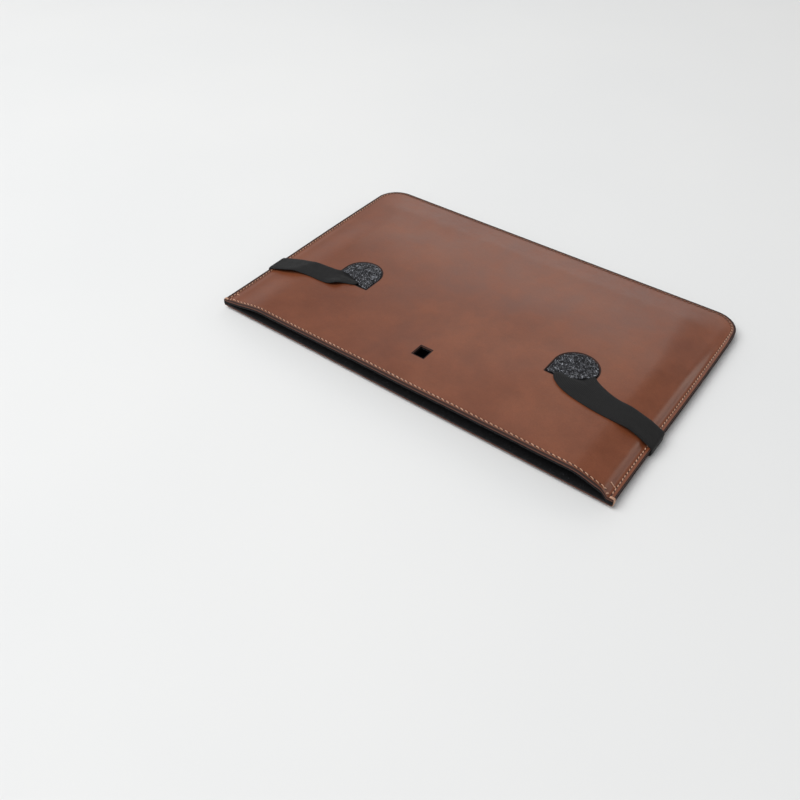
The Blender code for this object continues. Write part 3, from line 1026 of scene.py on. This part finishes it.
def add_strap(side_name):
    """One strap in three pieces: the front and back ones, and the wrap round the side."""
    side = SIDES[side_name]
    inner = strap_surface(side_name)
    along = np.gradient(inner, axis=0)
    across = np.gradient(inner, axis=1)
    normal = np.cross(along, across)
    normal /= np.linalg.norm(normal, axis=2, keepdims=True)
    v = np.linspace(-1, 1, STRAP_ACROSS)
    profile = BAND_THICKNESS * (1 - 0.55 * np.abs(v) ** 9) + 0.00003 * np.cos(v * np.pi * 11)
    outer = inner + normal * profile[None, :, None]
    middle = inner[:, STRAP_ACROSS // 2]
    steps = np.linalg.norm(np.diff(middle, axis=0), axis=1)
    lengths = np.concatenate([[0], np.cumsum(steps)])
    beyond = np.nonzero(middle[:, 0] >= SPLIT_X)[0]
    first, last = int(beyond[0]), int(beyond[-1])
    ends = (("front", 0, first + 1, PLATEAU), ("back", last, len(middle), SIDE_LIFT))
    for face_name, a, b, z in ends:
        name = f"{side_name}_{face_name}_strap"
        piece = strap_piece(name, inner[a:b], outer[a:b], lengths[a:b], side)
        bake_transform(piece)
        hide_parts(f"{side_name}_{face_name}_band_tail", f"{side_name}_{face_name}_band_run")
    wrap = strap_piece(f"{side_name}_strap_wrap", inner[first:last + 1], outer[first:last + 1],
                       lengths[first:last + 1], side)
    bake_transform(wrap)
    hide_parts(f"{side_name}_band_loop")


# ------------------------ stitches


def even_points(path, pitch):
    """Points at even distances along a dense path, pitch as near as the length allows."""
    path = np.asarray(path, float)
    lengths = np.concatenate([[0], np.cumsum(np.linalg.norm(np.diff(path, axis=0), axis=1))])
    count = int(round(lengths[-1] / pitch))
    ends = np.linspace(0, lengths[-1], count + 1)
    return lambda s: np.stack([np.interp(s, lengths, path[:, k]) for k in range(2)], -1), ends


def stitch_row(name, path, pitch, face_name, slant, node, fill):
    """A row of separate stitches that rise from one needle hole and go down the next."""
    face = FACES[face_name]
    at, ends = even_points(path, pitch)
    t = np.linspace(0, 1, 9)
    rng = np.random.default_rng(len(name) * 7)
    lines = []
    for a, b in zip(ends, ends[1:]):
        half = (b - a) * fill / 2
        middle = (a + b) / 2 + rng.normal(0, 0.00005)
        s = middle + (2 * t - 1) * half
        plan = at(s)
        tangent = plan[-1] - plan[0]
        tangent /= np.linalg.norm(tangent)
        aside = np.array([-tangent[1], tangent[0]])
        plan = plan + aside * ((t - 0.5) * (slant + rng.normal(0, 0.00008)))[:, None]
        lift = STITCH_RISE * (1 - (2 * t - 1) ** 4) - STITCH_DIP * np.abs(2 * t - 1) ** 6
        z = FACE_HEIGHT[face_name](plan[:, 0], plan[:, 1]) + face * (lift - STITCH_SUNK)
        lines.append(np.column_stack([plan, z]))
    row = tubes(name, lines, THREAD_R, THREAD_LOOK)
    rearward = np.array([corner.co.y for corner in row.data.vertices])
    # The thread darkens over the rearmost stretch of each row
    add_floats(row, "rear_darkening", 0.75 * smooth((rearward - 0.098) / 0.015))
    sew_on(row, node)


def seam_path():
    """The seam row in plan, up the right side, along the rear and down the left side."""
    y = np.linspace(SEAM_ROW_END, CORNER_Y, 300)
    side = np.stack([edge_x(y) - THREAD_INSET, y], 1)
    a = np.linspace(0, np.pi / 2, 60)[1:]
    radius = REAR_CORNER - THREAD_INSET
    corner = np.stack([CORNER_X + radius * np.cos(a), CORNER_Y + radius * np.sin(a)], 1)
    right = np.concatenate([side, corner])
    left = right[::-1] * np.array([-1, 1])
    return np.concatenate([right, left])


def add_stitches():
    mouth_x = np.linspace(-MOUTH_ROW_END, MOUTH_ROW_END, 600)
    mouth = np.stack([mouth_x, np.full(600, -HALF_DEPTH + MOUTH_INSET)], 1)
    for face_name in FACES:
        stitch_row(f"{face_name}_seam_stitches", seam_path(), SEAM_PITCH, face_name,
                   0.0004, f"{face_name}_seam_thread", fill=0.46)
        stitch_row(f"{face_name}_mouth_stitches", mouth, MOUTH_PITCH, face_name,
                   -0.0008, f"{face_name}_mouth_thread", fill=0.66)


# Corner stitches: y of each wrap round the edge, and each short stitch's two ends as its distance
# in from the side and its y
CORNER_WRAPS = (-0.1177, -0.1162)
CORNER_SHORTS = (
    (0.0078, -0.1078, 0.0040, -0.1074),
    (0.0062, -0.1168, 0.0052, -0.1150),
    (0.0088, -0.1160, 0.0078, -0.1148),
)


def add_corner_stitches(side_name):
    """Close stitches over the mouth corner: wraps round the edge, and short rows either side."""
    side = SIDES[side_name]
    lines = []
    steps = 25
    for k, y in enumerate(CORNER_WRAPS):
        out = float(edge_x(y)) + 0.00022
        inner = out - THREAD_INSET - 0.0003
        top, low = SEAM_TOP + 0.0001, SIDE_LIFT + 0.0001
        bends = [(inner, 0.0005), (inner + 0.0004, 0.0), (out - 0.0005, 0.0), (out, 0.0006)]
        corners = [(x, top - d) for x, d in bends] + [(x, low + d) for x, d in reversed(bends)]
        profile = curve_points(corners, steps)
        lean = np.linspace(-0.0004, 0.0004, steps) * (1 if k % 2 else -1)
        lines.append(np.column_stack([side * profile[:, 0], y + lean, profile[:, 1]]))
    t = np.linspace(-1, 1, steps)
    for face_name, face in FACES.items():
        height = FACE_HEIGHT[face_name]
        for x0, y0, x1, y1 in CORNER_SHORTS:
            y = (y0 + y1) / 2 + t * (y1 - y0) / 2
            x = edge_x(y) - ((x0 + x1) / 2 + t * (x1 - x0) / 2)
            lift = 0.00024 * (1 - t**4) - 0.0003 * np.abs(t) ** 8
            if face < 0:
                lift = lift - 0.0002
            lines.append(np.column_stack([side * x, y, height(side * x, y) + face * lift]))
    piece = tubes(f"{side_name}_corner_stitches", lines, THREAD_R, THREAD_LOOK)
    sew_on(piece, f"{side_name}_corner_tack")


def add_anchor_stitches(side_name, face_name):
    """Hidden stitches that hold the strap's end down under its patch."""
    side, face = SIDES[side_name], FACES[face_name]
    t = np.linspace(-1, 1, 9)
    lines = []
    for k in range(5):
        x = WINDOW_X - 0.0005 + 0.0016 * (k - 2) + 0.0008 * t
        y = WINDOW_Y - 0.004 + 0.0009 * (k - 2) - 0.0010 * t
        z = FACE_HEIGHT[face_name](side * x, y) - face * (0.00085 + 0.0003 * np.abs(t) ** 4)
        lines.append(np.column_stack([side * x, y, z]))
    piece = tubes(f"{side_name}_{face_name}_anchor_stitches", lines, 0.0002, THREAD_LOOK)
    sew_on(piece, f"{side_name}_{face_name}_anchor_tack")


add_panels()
for side_name in SIDES:
    for face_name in FACES:
        add_patch(side_name, face_name)
        add_anchor_stitches(side_name, face_name)
    add_strap(side_name)
    add_corner_stitches(side_name)
add_stitches()


# ------------------------ floor, light, camera


def floor_material():
    look, tree, shader = new_material("pale_floor", (0.80, 0.81, 0.81), 0.7)
    shader.inputs["Specular IOR Level"].default_value = 0.2
    coords = object_coords(tree)
    cloud = noise(tree, coords, 2.0, 3.0)
    tone = ramp(tree, cloud, ((0.3, (0.775, 0.785, 0.79)), (0.7, (0.81, 0.815, 0.815))))
    link(tree, tone, shader.inputs["Base Color"])
    return look


def add_floor():
    half = 6.0
    points = [(-half, -half, 0.0), (half, -half, 0.0), (half, half, 0.0), (-half, half, 0.0)]
    floor = make_object("floor", points, [(0, 1, 2, 3)], floor_material())


def add_area_light(name, location, size, power, colour):
    """A softbox that faces the sleeve."""
    light = bpy.data.lights.new(name, "AREA")
    light.shape = "RECTANGLE"
    light.size, light.size_y = size
    light.energy = power
    light.color = colour
    lamp = bpy.data.objects.new(name, light)
    lamp.location = location
    lamp.rotation_euler = (-Vector(location)).to_track_quat("-Z", "Y").to_euler()
    bpy.context.scene.collection.objects.link(lamp)


def add_world():
    """White walls low down, under a greyer ceiling."""
    world = bpy.data.worlds.new("studio")
    bpy.context.scene.world = world
    world.use_nodes = True
    tree = world.node_tree
    sky = tree.nodes["Background"]
    parts = tree.nodes.new("ShaderNodeSeparateXYZ")
    link(tree, tree.nodes.new("ShaderNodeTexCoord").outputs["Generated"], parts.inputs["Vector"])
    tone = ramp(tree, parts.outputs["Z"], (
        (0.0, (0.84, 0.85, 0.86)), (0.15, (0.52, 0.53, 0.54)), (0.45, (0.40, 0.41, 0.42)),
        (0.66, (0.22, 0.225, 0.23)), (1.0, (0.32, 0.325, 0.33)),
    ))
    link(tree, tone, sky.inputs["Color"])
    sky.inputs["Strength"].default_value = 1.0


CAMERA_PLACE = (0.261, -0.4565, 0.4055)
CAMERA_TARGET = (0.008, -0.120, 0.0)
CAMERA_ROLL = math.radians(0.2)
CAMERA_LENS = 35.0


def add_camera():
    data = bpy.data.cameras.new("camera")
    data.sensor_width = 36.0
    data.lens = CAMERA_LENS
    data.clip_start, data.clip_end = 0.01, 50.0
    camera = bpy.data.objects.new("camera", data)
    bpy.context.scene.collection.objects.link(camera)
    aim = Vector(CAMERA_TARGET) - Vector(CAMERA_PLACE)
    turn = aim.to_track_quat("-Z", "Y").to_matrix().to_4x4()
    roll = Matrix.Rotation(CAMERA_ROLL, 4, "Z")
    camera.matrix_world = Matrix.Translation(CAMERA_PLACE) @ turn @ roll
    bpy.context.scene.camera = camera


add_floor()
add_world()
add_area_light("key", (-1.0, -1.1, 2.6), (2.6, 2.6), 84.5, (1.0, 0.995, 0.985))
add_area_light("rear_softbox", (-1.00, 2.40, 1.44), (1.8, 1.5), 9.0, (1.0, 0.97, 0.93))
add_area_light("side_softbox", (1.95, 2.40, 0.90), (1.4, 0.9), 8.6, (1.0, 0.87, 0.76))
add_camera()
bpy.context.scene.view_settings.view_transform = "Standard"
